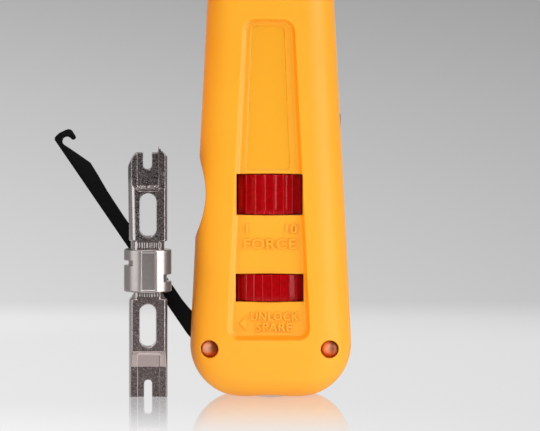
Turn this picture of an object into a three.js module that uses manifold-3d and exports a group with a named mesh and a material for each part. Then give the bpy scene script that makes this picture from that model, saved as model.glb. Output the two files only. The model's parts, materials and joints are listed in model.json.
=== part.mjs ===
// Impact punch down tool: two moulded handle shells round a spring hammer, a twist-lock
// blade in the nose, a folding wire hook and spudger, and a spare blade beside the handle.
// Millimetres, +Z up. The tool stands on its butt at z 0; -Y is the front, +X its right side.
import * as THREE from "three";
import { mergeVertices } from "three/addons/utils/BufferGeometryUtils.js";
import Module from "manifold-3d";

const wasm = await Module();
wasm.setup();

// ---------- driving dimensions ----------
const TOOL_AXIS = { x: 13.77, y: 0.758 }; // from the middle of the set's footprint
const BODY_LENGTH = 140; // moulded handle, butt to nose shoulder
const SECTION_POWER = 3; // superellipse power of the handle's cross-section
// handle size along its length: [z, half-width in X]
const HALF_WIDTH = [
  [0, 9.46], [0.35, 10.39], [1.1, 11.73], [2.2, 13.14], [3.6, 14.39], [5.6, 15.54],
  [8.3, 16.3], [12.4, 16.4], [19.6, 16.1], [29.8, 15.6], [40.1, 15.0], [50.3, 14.45],
  [70.8, 13.45], [81.1, 13.0], [120, 11.35], [138, 10.5], [139.3, 10.1], [140, 9.3],
];
// [z, half-thickness in Y]
const HALF_THICK = [
  [0, 6.9], [0.35, 8.5], [1.1, 9.6], [2.2, 10.4], [3.6, 10.95], [5.6, 11.2], [12.4, 11.3],
  [29.8, 11.25], [45, 11.15], [81.1, 10.6], [120, 10.25], [138, 10.05], [139.3, 9.8],
  [140, 9.2],
];
const WALL = 2.4;
const OUT = 20; // cutters reach this far from the axis, clear of the handle
const THROUGH = [-OUT, OUT];

// finger wheels; tooth lists [fraction of the pitch, depth below the radius]
const IMPACT = {
  z: [37.05, 45.2], radius: 10.0, bore: 6.4, chamfer: 0.35, windowHalf: 6.75,
  teeth: 32, tooth: [[0, 0.5], [0.28, 0.08], [0.5, 0], [0.72, 0.08]],
};
const RELEASE = {
  z: [19.35, 24.75], radius: 10.3, bore: 6.4, chamfer: 0.3, windowHalf: 6.9,
  teeth: 35, tooth: [[0, 0.42], [0.62, 0.42], [0.72, 0], [0.9, 0]],
};
const WHEEL_GAP = { end: 0.25, rim: 0.3 };

// rivets at +x and -x; seat is the depth of the head's recess, measured from y 0
const RIVET = { x: 12.2, z: 9.6, shank: 1.15, head: 1.55, hole: 1.3, recess: 1.8, seat: 7.2 };
const LEVER_HALF = 0.6; // half-thickness of the folding levers
const SLOT_HALF = LEVER_HALF + 0.2;
const EYE_RADIUS = 2.2; // lever end round its rivet

const BLADE = { width: 8.0, thick: 4.7, hub: 9.7, hubZ: [21.3, 29.95] };
const BLADE_NOSE_Z = 123.3; // lower end of the blade seated in the nose
const NOSE_END = 153;
const SPARE = { x: -24.95, y: -8.0, turn: 4 }; // turn in degrees

// ---------- helpers: ranges are [low, high], profiles [radius, z] ----------
const widen = ([low, high], by) => [low - by, high + by];
const toVectors = (points) => points.map(([a, b]) => new THREE.Vector2(a, b));
const radians = (degrees) => (degrees * Math.PI) / 180;

function interpolate(table, z) {
  const i = table.findIndex(([station], k) => k > 0 && z <= station);
  const [z0, value0] = table[i - 1];
  const [z1, value1] = table[i];
  return value0 + ((value1 - value0) * (z - z0)) / (z1 - z0);
}

// manifold solid from a closed geometry, turned right side out if need be
function solid(geometry) {
  const loose = geometry.index ? geometry.toNonIndexed() : geometry.clone();
  loose.deleteAttribute("normal");
  loose.deleteAttribute("uv");
  const merged = mergeVertices(loose, 1e-4);
  const vertProperties = merged.attributes.position.array;
  const triVerts = new Uint32Array(merged.index.array);
  const make = () =>
    new wasm.Manifold(new wasm.Mesh({ numProp: 3, vertProperties, triVerts }));
  const made = make();
  if (made.volume() >= 0) return made;
  for (let i = 0; i < triVerts.length; i += 3)
    [triVerts[i + 1], triVerts[i + 2]] = [triVerts[i + 2], triVerts[i + 1]];
  return make();
}

const box = ([x0, x1], [y0, y1], [z0, z1]) =>
  solid(
    new THREE.BoxGeometry(x1 - x0, y1 - y0, z1 - z0)
      .translate((x0 + x1) / 2, (y0 + y1) / 2, (z0 + z1) / 2),
  );
const cylinder = (radius, [z0, z1], { x = 0, segments = 24 } = {}) =>
  solid(
    new THREE.CylinderGeometry(radius, radius, z1 - z0, segments)
      .rotateX(Math.PI / 2)
      .translate(x, 0, (z0 + z1) / 2),
  );
const cylinderY = (radius, [y0, y1], x, z) =>
  solid(
    new THREE.CylinderGeometry(radius, radius, y1 - y0, 16).translate(x, (y0 + y1) / 2, z),
  );

const lathe = (profile, segments) => new THREE.LatheGeometry(toVectors(profile), segments);
// body turned about Z from an outline, closed here
const turned = (profile, segments = 24) =>
  solid(lathe([...profile, profile[0]], segments).rotateX(Math.PI / 2));
const ring = (inner, outer, [z0, z1]) =>
  turned([[inner, z0], [outer, z0], [outer, z1], [inner, z1]]);

const extrude = (points, [low, high]) =>
  new THREE.ExtrudeGeometry(new THREE.Shape(toVectors(points)), {
    depth: high - low,
    bevelEnabled: false,
  });
// points are [x, y]
const prismZ = (points, z) => solid(extrude(points, z).translate(0, 0, z[0]));
// points are [x, z]
const prismY = (points, y) =>
  solid(extrude(points, y).rotateX(Math.PI / 2).translate(0, y[1], 0));

// points along an arc; angles in degrees
const arc = (cx, cy, radius, from, to, steps) =>
  Array.from({ length: steps + 1 }, (_, i) => {
    const angle = radians(from + ((to - from) * i) / steps);
    return [cx + radius * Math.cos(angle), cy + radius * Math.sin(angle)];
  });
// wedge about Z between two angles, with its core left out
const sector = (inner, outer, from, to, z) =>
  prismZ([[0, 0], ...arc(0, 0, outer, from, to, 8)], z)
    .subtract(cylinder(inner, widen(z, 1)));

// polygon with its corners rounded by quadratic curves
function rounded(points, radius) {
  const corners = toVectors(points);
  return corners.flatMap((corner, i) => {
    const toBefore = corners.at(i - 1).clone().sub(corner).normalize();
    const toAfter = corners[(i + 1) % corners.length].clone().sub(corner).normalize();
    const setback = radius / Math.tan(Math.acos(toBefore.dot(toAfter)) / 2);
    const start = corner.clone().addScaledVector(toBefore, setback);
    const end = corner.clone().addScaledVector(toAfter, setback);
    return new THREE.QuadraticBezierCurve(start, corner, end)
      .getPoints(3)
      .map(({ x, y }) => [x, y]);
  });
}

// helix about Z
class Helix extends THREE.Curve {
  constructor(radius, z0, z1, turns) {
    super();
    Object.assign(this, { radius, z0, z1, turns });
  }
  getPoint(t, target = new THREE.Vector3()) {
    const angle = 2 * Math.PI * this.turns * t;
    return target.set(
      this.radius * Math.cos(angle),
      this.radius * Math.sin(angle),
      this.z0 + (this.z1 - this.z0) * t,
    );
  }
}
// wire of polygonal section swept along a helix
const wind = (helix, { wireRadius, sides, steps }) =>
  new THREE.ExtrudeGeometry(
    new THREE.Shape(toVectors(arc(0, 0, wireRadius, 0, 360 - 360 / sides, sides - 1))),
    { steps, bevelEnabled: false, extrudePath: helix },
  );
function coil({ radius, wire, z, turns }) {
  const helix = new Helix(radius, ...widen(z, -wire / 2), turns);
  return solid(wind(helix, { wireRadius: wire / 2, sides: 5, steps: Math.round(turns * 11) }));
}

// ---------- handle ----------
const PANEL = { z0: 11.6, half0: 8.5, z1: 77.0, half1: 5.5, floor: 9.5, corner: 1.8 };
const RIBS = [
  [13.9, 18.7], [29.2, 31.2], [33.9, 36.6], [49.8, 52.4],
  [62.5, 65.5], [86, 89], [109, 113], [127, 134.2],
]; // z ranges
// stepped axial bores: [radius, z from, z to]
const BORES = [
  [5.0, -1, 3.1], [6.3, 3.0, 54.5], [8.75, 46.2, 61.6],
  [8.3, 61.5, 133.1], [8.5, 133, 141], [9.1, 133.1, 135.3],
];
// finger notch in the left side: [x, z]
const NOTCH = [
  [-14.6, 48.4], [-14.02, 47.5], [-13.8, 45.7], [-13.45, 43.7], [-13.26, 41.6],
  [-13.36, 39.6], [-13.66, 37.6], [-14.2, 33.7], [-15.0, 31.8], [-OUT, 31.8], [-OUT, 48.4],
];
// slots the levers fold into: [x, z]
const HOOK_SLOT = [[-OUT, 6.9], [-9.4, 6.9], [-9.4, 13], [-9.6, 16], [-9.6, 66], [-OUT, 66]];
const SPUDGER_SLOT = [[OUT, 6.9], [OUT, 61], [10, 61], [10, 16], [9.5, 13], [9.5, 6.9]];

// superellipse sections joined through the given z levels
function loft(inset, levels, segments) {
  const positions = [];
  const indices = [];
  for (const z of levels) {
    const halfWidth = interpolate(HALF_WIDTH, z) - inset;
    const halfThick = interpolate(HALF_THICK, z) - inset;
    for (let i = 0; i < segments; i++) {
      const angle = (2 * Math.PI * i) / segments;
      const cos = Math.cos(angle);
      const sin = Math.sin(angle);
      const reach = Math.pow(
        Math.pow(Math.abs(cos) / halfWidth, SECTION_POWER) +
          Math.pow(Math.abs(sin) / halfThick, SECTION_POWER),
        -1 / SECTION_POWER,
      );
      positions.push(reach * cos, reach * sin, z);
    }
  }
  positions.push(0, 0, levels[0], 0, 0, levels.at(-1));
  const lowCentre = levels.length * segments;
  const highCentre = lowCentre + 1;
  const lastRow = lowCentre - segments;
  for (let row = 0; row < lowCentre; row += segments)
    for (let i = 0; i < segments && row < lastRow; i++) {
      const here = row + i;
      const next = row + ((i + 1) % segments);
      const above = here + segments;
      const aboveNext = next + segments;
      indices.push(here, next, aboveNext, here, aboveNext, above);
    }
  for (let i = 0; i < segments; i++) {
    const next = (i + 1) % segments;
    indices.push(lowCentre, next, i, highCentre, lastRow + i, lastRow + next);
  }
  return solid(
    new THREE.BufferGeometry()
      .setAttribute("position", new THREE.Float32BufferAttribute(positions, 3))
      .setIndex(indices),
  );
}

function handleBody() {
  let body = loft(0, HALF_WIDTH.map(([z]) => z), 36);
  const cut = (cutter) => {
    body = body.subtract(cutter);
  };
  // hollow inside, with cross ribs left standing
  let hollow = loft(WALL, [14, 30, 81, 133.9], 20);
  for (const z of RIBS) hollow = hollow.subtract(box(THROUGH, THROUGH, z));
  cut(hollow);
  for (const [radius, ...z] of BORES) cut(cylinder(radius, z));

  // recessed panels, front and rear
  const { z0, half0, z1, half1, floor, corner } = PANEL;
  const panel = rounded([[-half0, z0], [half0, z0], [half1, z1], [-half1, z1]], corner);
  cut(prismY(panel, [-OUT, -floor]));
  cut(prismY(panel, [floor, OUT]));

  // wheel windows and wheel pockets
  for (const wheel of [IMPACT, RELEASE]) {
    const z = widen(wheel.z, WHEEL_GAP.end);
    cut(box([-wheel.windowHalf, wheel.windowHalf], THROUGH, z));
    cut(cylinder(wheel.radius + WHEEL_GAP.rim, z, { segments: 32 }));
  }

  cut(prismY(NOTCH, THROUGH));
  for (const slot of [HOOK_SLOT, SPUDGER_SLOT]) cut(prismY(slot, [-SLOT_HALF, SLOT_HALF]));
  for (const x of [-RIVET.x, RIVET.x]) {
    cut(cylinderY(RIVET.hole, THROUGH, x, RIVET.z));
    cut(cylinderY(RIVET.recess, [-OUT, -RIVET.seat], x, RIVET.z));
    cut(cylinderY(RIVET.recess, [RIVET.seat, OUT], x, RIVET.z));
  }
  // step for the clamp ring round the nose end
  cut(
    box(THROUGH, THROUGH, [135.9, BODY_LENGTH + 1])
      .subtract(cylinder(9.15, [135, BODY_LENGTH + 2])),
  );
  return body;
}
const handle = handleBody();
const handleHalf = (y) => handle.intersect(box(THROUGH, y, [-5, 160]));

const clampRing = () =>
  turned([[9.3, 136.1], [10.25, 136.1], [10.25, 139.2], [9.8, 139.8], [9.3, 139.8]]);

// rivet across the handle, with a dimple in each head
function rivet(x) {
  const { shank, head, z } = RIVET;
  const under = RIVET.seat + 0.05; // underside of the head
  const top = under + 0.85;
  // [radius, y] from the dimple out to the head's rim
  const headProfile = [
    [0, top - 0.55], [0.5, top - 0.6], [0.62, top],
    [1.0, top - 0.02], [head - 0.15, top - 0.3], [head, under],
  ];
  const profile = [
    ...headProfile.map(([radius, y]) => [radius, -y]),
    [shank, -under],
    [shank, under],
    ...headProfile.toReversed(),
  ];
  return solid(lathe(profile, 20).translate(x, 0, z));
}

// ---------- folding levers ----------
// wire hook, swung out to the left: [x, z]
const HOOK = [
  [-43.93, 51.62], [-43.68, 52.44], [-42.85, 53.23], [-41.64, 53.92], [-40.82, 53.73],
  [-39.89, 52.44], [-39.89, 52.07], [-40.45, 51.72], [-40.82, 51.89], [-41.18, 52.32],
  [-41.64, 52.4], [-42.27, 52.18], [-42.56, 51.54], [-42.46, 50.89], [-42.09, 50.62],
  [-36.96, 47.32], [-36.59, 46.95], [-34.87, 44.39], [-29.42, 35.41], [-19.5, 21.47],
  [-17.85, 19.03], [-16.5, 17.38],
];
// spudger, folded into the right side: [x, z]
const SPUDGER = [
  [14.32, 12.0], [13.9, 39.43], [13.72, 52.03], [14.5, 53.73], [14.52, 56.83],
  [14.1, 57.63], [13.2, 57.93], [12.2, 57.03], [11.3, 53.43], [10.62, 47.43],
  [10.62, 18.6], [10.3, 13],
];
const lever = (outline, pivotX) =>
  prismY(outline, [-LEVER_HALF, LEVER_HALF])
    .subtract(cylinderY(RIVET.hole, [-2, 2], pivotX, RIVET.z));
const hookLever = () =>
  lever([
    ...HOOK,
    [-RIVET.x + EYE_RADIUS * 0.97, RIVET.z + EYE_RADIUS * 0.3],
    ...arc(-RIVET.x, RIVET.z, EYE_RADIUS, 0, -140, 10),
    [-16.91, 12.2],
  ], -RIVET.x);
const spudgerLever = () =>
  lever([...SPUDGER, ...arc(RIVET.x, RIVET.z, EYE_RADIUS, 175, 365, 14)], RIVET.x);

// ---------- wheels and their springs ----------
// ridged wheel with chamfered rims
function knurled({ z: [z0, z1], radius, bore, chamfer, teeth, tooth }) {
  const outline = [];
  for (let i = 0; i < teeth; i++)
    for (const [fraction, depth] of tooth) {
      const angle = (2 * Math.PI * (i + fraction)) / teeth;
      outline.push([(radius - depth) * Math.cos(angle), (radius - depth) * Math.sin(angle)]);
    }
  const outer = radius + 0.1;
  const envelope = turned([
    [bore, z0], [outer - chamfer, z0], [outer, z0 + chamfer],
    [outer, z1 - chamfer], [outer - chamfer, z1], [bore, z1],
  ], 32);
  return prismZ(outline, [z0, z1]).intersect(envelope);
}
// with a lug reaching in through the storage sleeve's slot
const releaseWheel = () =>
  knurled(RELEASE).add(box([-0.9, 0.9], [4.75, 6.8], [21.4, 22.8]));
const releaseSpring = () => coil({ radius: 7.4, wire: 0.7, z: [25.4, 28.8], turns: 3 });
// leaf with a thicker rear edge
function detentSpring() {
  const z = [37.6, 44.8];
  return box([10.5, 10.8], [1.4, 5.2], z).add(box([10.5, 11.1], [4.8, 5.2], z));
}

// ---------- blade storage and power adjuster ----------
// tube closed at the top, slotted at the release wheel
const storageSleeve = () =>
  ring(5.05, 6.2, [3.2, 53.2])
    .add(cylinder(6.2, [53.0, 54.2]))
    .subtract(sector(4.5, 9, 18, 102, [21.1, 23.1]));
// with a key on its right side
const adjusterSleeve = () =>
  ring(6.5, 8.5, [46.9, 56.2]).add(box([8.2, 8.6], [-1, 1], [53, 56]));
const springSeat = () => ring(2.6, 7.2, [56.3, 57.9]);
const mainSpring = () => coil({ radius: 5.3, wire: 1.35, z: [58.0, 87.8], turns: 7 });

// ---------- hammer and trigger ----------
const impactBarrel = () => ring(7.2, 8.2, [62.2, 117]);
const tripRing = () =>
  turned([[6.35, 86.0], [7.1, 86.0], [7.1, 90.7], [6.95, 90.7], [6.35, 89.2]]);
// bored, with a cross slot for the slide and a small pocket below it on the left
const hammer = () =>
  turned([[2.3, 88.0], [5.7, 88.0], [6.15, 88.5], [6.15, 102.6], [5.7, 103.1], [2.3, 103.1]])
    .subtract(box([-7, 7], [-2.5, 2.5], [98.9, 102.2]))
    .subtract(box([-6.9, -4.9], [-1.2, 1.2], [98.0, 99.0]));
// its hole is off the tool axis
const triggerSlide = () =>
  box([-3.9, 6.9], [-2.3, 2.3], [99.1, 102.0])
    .intersect(cylinder(6.95, [99, 102.1]))
    .subtract(cylinder(2.2, [98, 103], { x: -0.9 }));
const triggerSpring = () =>
  solid(
    wind(new Helix(0.85, -0.5, 0.5, 2), { wireRadius: 0.14, sides: 6, steps: 24 })
      .rotateY(Math.PI / 2)
      .translate(-5.6, 0, 100.55),
  );
const guideWasher = () => ring(2.35, 7.1, [104.4, 105.9]);
const returnSpring = () => coil({ radius: 4.4, wire: 0.8, z: [106.0, 119.3], turns: 5.5 });

// ---------- plunger, blade socket and nose ----------
// lock pins: height above the seated blade's lower end, angle in degrees about Z
const LEFT_PIN = { height: 27.0, angle: 217 };
const RIGHT_PIN = { height: 24.15, angle: 37 };
const PIN_RADIUS = 0.4;
const aboveBladeEnd = (low, high) => [BLADE_NOSE_Z + low, BLADE_NOSE_Z + high];

// radial cylinder at a lock pin's place
const radialPin = ({ height, angle }, radius, [from, to]) =>
  solid(
    new THREE.CylinderGeometry(radius, radius, to - from, 16)
      .rotateZ(Math.PI / 2)
      .translate((from + to) / 2, 0, 0)
      .rotateZ(radians(angle))
      .translate(0, 0, BLADE_NOSE_Z + height),
  );
const lockPin = (pin) => radialPin(pin, PIN_RADIUS, [4.05, 5.7]);
const pinHole = (pin) => radialPin(pin, PIN_RADIUS + 0.12, [4, 7]);

const plungerRod = () =>
  turned([
    [0, 103.3], [1.7, 103.3], [2.0, 103.6], [2.0, 119.4],
    [1.75, 119.4], [1.75, 122.3], [0, 122.3],
  ]);
// tube on a pierced base, grooved outside for the lock spring
const bladeSocket = () =>
  ring(4.95, 6.2, [122.4, NOSE_END - 0.3])
    .add(ring(1.95, 6.2, [119.6, 122.6]))
    .subtract(ring(5.75, 6.4, aboveBladeEnd(23.2, 28.0)))
    .subtract(pinHole(LEFT_PIN))
    .subtract(pinHole(RIGHT_PIN));
// split on the right
const lockSpring = () =>
  ring(5.95, 6.45, aboveBladeEnd(23.4, 27.8))
    .subtract(box([5, 7], [-0.8, 0.8], aboveBladeEnd(23, 28)));
const noseBushing = () => ring(6.4, 8.2, [117.2, 132.9]);
const noseCollar = () =>
  turned([
    [7.3, 133.3], [9.0, 133.3], [9.0, 135.1], [8.4, 135.1], [8.4, 140.2], [9.4, 140.2],
    [9.6, 140.6], [9.6, 148.8], [8.1, NOSE_END], [7.0, NOSE_END], [7.3, 150.5],
  ], 28);

// ---------- blade, about its own axis with its lower end at z 0 ----------
// both slotted tips: [x, z]
const BLADE_OUTLINE = [
  [4.1, 0], [0.8, 0], [0.8, 3.3], [-0.75, 3.3], [-0.75, 0], [-4.1, 0],
  [-4.1, 47.0], [-3.8, 48.0], [-3.1, 48.9], [-2.23, 49.55], [-0.95, 49.7], [-0.95, 46.2],
  [0.9, 46.2], [0.9, 49.6], [2.15, 49.6], [2.2, 50.8], [3.87, 48.8], [4.1, 48.2],
];
const OBROUND_RADIUS = 1.72;
const NECK_HALF = 3.45;
// a range on the rear (+1) or front (-1) side
const onSide = (side, near, far) => (side > 0 ? [near, far] : [-far, -near]);

const obround = (z0, z1) => [
  ...arc(0, z1 - OBROUND_RADIUS, OBROUND_RADIUS, 0, 180, 8),
  ...arc(0, z0 + OBROUND_RADIUS, OBROUND_RADIUS, 180, 360, 8),
];

function bladeBar() {
  const flat = BLADE.thick / 2;
  const [hubLow, hubHigh] = BLADE.hubZ;
  let bar = cylinder(BLADE.width / 2, [-1, 52], { segments: 32 })
    .intersect(prismY(BLADE_OUTLINE, [-flat, flat]));
  // thinner web at both tips
  for (const side of [-1, 1]) {
    const y = onSide(side, 1.15, flat + 0.6);
    bar = bar
      .subtract(box([-2.13, 2.13], y, [41.7, 60]))
      .subtract(box([-2.05, 2.35], y, [-5, 6.2]));
  }
  for (const [z0, z1] of [[32.5, 41.5], [10.0, 18.8]])
    bar = bar.subtract(prismY(obround(z0, z1), [-5, 5]));
  // necks above and below the hub
  for (const z of [[hubHigh - 0.1, 31.9], [20.2, hubLow + 0.1]])
    bar = bar.subtract(
      box([-6, 6], [-6, 6], z)
        .subtract(box([-NECK_HALF, NECK_HALF], [-6, 6], widen(z, 1))),
    );
  return bar;
}

function bladeHub() {
  const radius = BLADE.hub / 2;
  const chamfer = 0.35;
  const [low, high] = BLADE.hubZ;
  const profile = [
    [0, low], [radius - chamfer, low], [radius, low + chamfer],
    [radius, high - chamfer], [radius - chamfer, high], [0, high],
  ];
  let hub = solid(lathe(profile, 40).rotateX(Math.PI / 2));
  // lengthwise grooves, front and rear
  for (const side of [-1, 1])
    hub = hub.subtract(box([-1.44, 1.44], onSide(side, 3.95, 6), [low + 0.25, high + 1]));
  // part-turn grooves, left and right
  return hub
    .subtract(sector(3.85, 8, 134, 226, [26.3, 27.7]))
    .subtract(sector(3.85, 8, -46, 46, [23.45, 24.85]));
}
const blade = bladeBar().add(bladeHub());

// ---------- materials ----------
const paint = (options) => new THREE.MeshStandardMaterial(options);
const yellow = paint({ color: 0xfeb53a, roughness: 0.5, metalness: 0 });
const red = paint({ color: 0xa8080c, roughness: 0.3, metalness: 0 });
const black = paint({ color: 0x1c1c1e, roughness: 0.45, metalness: 0.6 });
const steel = paint({ color: 0x9a9694, roughness: 0.35, metalness: 1 });
const nickel = paint({ color: 0xc8bfbb, roughness: 0.3, metalness: 1 });
const copper = paint({ color: 0xc98f66, roughness: 0.3, metalness: 1 });
const zinc = paint({ color: 0x8f9196, roughness: 0.45, metalness: 0.9 });
const nylon = paint({ color: 0x2b2c2e, roughness: 0.6, metalness: 0 });

// ---------- scene graph ----------
function geometryOf(piece) {
  const { vertProperties, triVerts } = piece.getMesh();
  const geometry = new THREE.BufferGeometry()
    .setAttribute("position", new THREE.BufferAttribute(new Float32Array(vertProperties), 3))
    .setIndex(new THREE.BufferAttribute(new Uint32Array(triVerts), 1));
  geometry.computeVertexNormals();
  return geometry;
}
function addPiece(parent, name, piece, material) {
  const mesh = new THREE.Mesh(geometryOf(piece), material);
  mesh.name = name;
  parent.add(mesh);
}

const tool = new THREE.Group();
tool.position.set(TOOL_AXIS.x, TOOL_AXIS.y, 0);
const PIECES = [
  ["front_shell", handleHalf([-OUT, 0]), yellow],
  ["rear_shell", handleHalf([0, OUT]), yellow],
  ["clamp_ring", clampRing(), zinc],
  ["hook_rivet", rivet(-RIVET.x), copper],
  ["spudger_rivet", rivet(RIVET.x), copper],
  ["hook_lever", hookLever(), black],
  ["spudger_lever", spudgerLever(), black],
  ["impact_wheel", knurled(IMPACT), red],
  ["impact_detent_spring", detentSpring(), steel],
  ["release_wheel", releaseWheel(), red],
  ["release_return_spring", releaseSpring(), steel],
  ["storage_sleeve", storageSleeve(), nylon],
  ["adjuster_sleeve", adjusterSleeve(), nylon],
  ["spring_seat", springSeat(), zinc],
  ["main_spring", mainSpring(), steel],
  ["impact_barrel", impactBarrel(), zinc],
  ["trip_ring", tripRing(), steel],
  ["hammer", hammer(), steel],
  ["trigger_slide", triggerSlide(), steel],
  ["trigger_spring", triggerSpring(), steel],
  ["guide_washer", guideWasher(), zinc],
  ["return_spring", returnSpring(), steel],
  ["plunger_rod", plungerRod(), steel],
  ["blade_socket", bladeSocket(), nickel],
  ["lock_pin_left", lockPin(LEFT_PIN), steel],
  ["lock_pin_right", lockPin(RIGHT_PIN), steel],
  ["lock_spring", lockSpring(), steel],
  ["nose_bushing", noseBushing(), nylon],
  ["nose_collar", noseCollar(), nickel],
];
for (const piece of PIECES) addPiece(tool, ...piece);

function mountBlade(name, { x, y, z, turn }) {
  const mount = new THREE.Group();
  mount.position.set(x, y, z);
  mount.rotation.z = radians(turn);
  tool.add(mount);
  addPiece(mount, name, blade, steel);
}
mountBlade("working_blade", { x: 0, y: 0, z: BLADE_NOSE_Z, turn: 0 });
mountBlade("spare_blade", { ...SPARE, z: 0 });

const set = new THREE.Group();
set.add(tool);
export default set;
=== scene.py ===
# Punch down tool standing on its butt on a pale table, with a spare blade beside it.
# Lengths are millimetres unless noted. x and y are measured from the tool's upright axis,
# z from the table up to the nose. -X is left, +X right, and -Y faces the camera.
# The hook lever folds out to the left, the spudger lies along the right side.
import json
import math

import bmesh
import bpy
import numpy as np
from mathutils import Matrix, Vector

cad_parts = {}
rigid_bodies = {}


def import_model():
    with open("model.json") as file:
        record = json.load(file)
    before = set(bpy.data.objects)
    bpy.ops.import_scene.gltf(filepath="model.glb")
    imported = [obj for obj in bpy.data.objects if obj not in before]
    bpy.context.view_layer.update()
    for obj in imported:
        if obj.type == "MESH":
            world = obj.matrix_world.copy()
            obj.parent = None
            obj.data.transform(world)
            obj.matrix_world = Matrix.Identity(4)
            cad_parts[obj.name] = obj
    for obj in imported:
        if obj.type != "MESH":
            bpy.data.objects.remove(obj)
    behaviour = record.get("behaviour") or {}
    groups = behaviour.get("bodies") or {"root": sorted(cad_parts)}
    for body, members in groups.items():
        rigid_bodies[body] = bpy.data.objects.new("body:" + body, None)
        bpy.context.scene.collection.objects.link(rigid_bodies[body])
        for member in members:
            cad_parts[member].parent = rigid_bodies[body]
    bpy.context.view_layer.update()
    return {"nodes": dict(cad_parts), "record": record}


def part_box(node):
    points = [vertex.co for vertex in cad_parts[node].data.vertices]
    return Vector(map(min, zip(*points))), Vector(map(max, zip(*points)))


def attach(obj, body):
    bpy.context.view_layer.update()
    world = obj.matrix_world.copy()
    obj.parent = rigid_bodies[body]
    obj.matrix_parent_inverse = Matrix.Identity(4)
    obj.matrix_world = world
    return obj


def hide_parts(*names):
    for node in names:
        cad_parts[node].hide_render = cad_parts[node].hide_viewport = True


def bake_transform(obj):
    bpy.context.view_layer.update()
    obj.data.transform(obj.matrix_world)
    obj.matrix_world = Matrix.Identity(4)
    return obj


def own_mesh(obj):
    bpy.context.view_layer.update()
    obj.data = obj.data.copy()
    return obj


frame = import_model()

MM = 0.001  # metres in a millimetre

barrel_low, barrel_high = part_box("impact_barrel")
AXIS_X = (barrel_low[0] + barrel_high[0]) / 2 / MM
AXIS_Y = (barrel_low[1] + barrel_high[1]) / 2 / MM
NOSE_BLADE_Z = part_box("working_blade")[0][2] / MM
SPARE_X = -24.84
SPARE_Y = -8.0
SPARE_TURN = math.radians(4)

# recessed panel in each handle face, and the strip let into its floor
PANEL_FLOOR = 9.5  # distance of the floor from the axis
PANEL_X = -0.1
PANEL_HALF = (8.5, 5.2)  # half width at the lower and upper end
PANEL_SPAN = (11.5, 76.85)
PANEL_CORNER = 2.5
STRIP_FLOOR = PANEL_FLOOR - 0.16
STRIP_X = -0.35
STRIP_HALF = (4.45, 3.3)
STRIP_SPAN = (46.2, 75.4)
STRIP_CORNER = 0.9

# lever rivets, one each side of the axis
RIVET_X = 12.2
RIVET_Z = 9.6
RIVET_HOLE = 1.3  # radius


# ------------------------------------------------------------------ mesh pieces
def rotated(points, turn):
    """Points or normals turned about z."""
    c, s = math.cos(turn), math.sin(turn)
    x, y, z = points[:, 0], points[:, 1], points[:, 2]
    return np.stack([x * c - y * s, x * s + y * c, z], 1)


def to_world(points, at=(0, 0, 0)):
    """Millimetres about the tool axis to metres in the scene."""
    return (points + np.array(at) + np.array([AXIS_X, AXIS_Y, 0])) * MM


def add_piece(name, mesh, material, body, sharp=None):
    """Object on a moving body; edges over sharp degrees are left hard."""
    o = bpy.data.objects.new(name, mesh)
    bpy.context.scene.collection.objects.link(o)
    mesh.materials.append(material)
    if sharp is not None:
        bpy.context.view_layer.objects.active = o
        o.select_set(True)
        bpy.ops.object.shade_smooth_by_angle(angle=math.radians(sharp))
        o.select_set(False)
    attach(o, body)
    return o


def tidy_mesh(mesh, merge=None):
    """Merges points closer than merge (metres), if given, and turns the faces outward."""
    bm = bmesh.new()
    bm.from_mesh(mesh)
    if merge:
        bmesh.ops.remove_doubles(bm, verts=bm.verts, dist=merge)
    bmesh.ops.recalc_face_normals(bm, faces=bm.faces)
    bm.to_mesh(mesh)
    bm.free()


def face_piece(name, verts, faces, material, body, slot,
               smooth=True, sharp=None, at=(0, 0, 0), turn=0.0):
    """Piece from lists of points and faces."""
    mesh = bpy.data.meshes.new(name)
    points = rotated(np.asarray(verts, np.float64), turn)
    mesh.from_pydata(to_world(points, at).tolist(), [], faces)
    mesh.validate()
    mesh.update()
    if smooth:
        mesh.shade_smooth()
    o = add_piece(name, mesh, material, body, sharp)
    tidy_mesh(mesh)
    return o


def quad_piece(name, points, quads, material, body, slot,
               at=(0, 0, 0), turn=0.0, normals=None, sharp=None):
    """Piece from large arrays of points and quads, with point normals if given."""
    world = to_world(rotated(points.astype(np.float64), turn), at)
    count = len(quads)
    mesh = bpy.data.meshes.new(name)
    mesh.vertices.add(len(world))
    mesh.vertices.foreach_set("co", world.astype(np.float32).ravel())
    mesh.loops.add(count * 4)
    mesh.loops.foreach_set("vertex_index", quads.astype(np.int32).ravel())
    mesh.polygons.add(count)
    mesh.polygons.foreach_set("loop_start", np.arange(0, 4 * count, 4, dtype=np.int32))
    mesh.polygons.foreach_set("loop_total", np.full(count, 4, dtype=np.int32))
    mesh.update(calc_edges=True)
    mesh.validate()
    mesh.shade_smooth()
    if normals is not None:
        normals = rotated(normals, turn).astype(np.float32)
        mesh.normals_split_custom_set_from_vertices(normals.tolist())
    return add_piece(name, mesh, material, body, sharp)


def curve_mesh(curve, x, y, z, merge, width=None):
    """Mesh of a flat curve stood up to face -Y, centred on x, y, z."""
    temp = bpy.data.objects.new(curve.name + "_temp", curve)
    bpy.context.scene.collection.objects.link(temp)
    depsgraph = bpy.context.evaluated_depsgraph_get()
    mesh = bpy.data.meshes.new_from_object(temp.evaluated_get(depsgraph))
    bpy.data.objects.remove(temp)
    co = np.empty(len(mesh.vertices) * 3)
    mesh.vertices.foreach_get("co", co)
    co = co.reshape(-1, 3)
    if width:
        co[:, 0] *= width / (co[:, 0].max() - co[:, 0].min())
    stood = np.stack([co[:, 0] + x, y - co[:, 2], co[:, 1] + z], 1)
    mesh.vertices.foreach_set("co", to_world(stood).ravel())
    tidy_mesh(mesh, merge)
    mesh.materials.clear()
    return mesh


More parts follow.
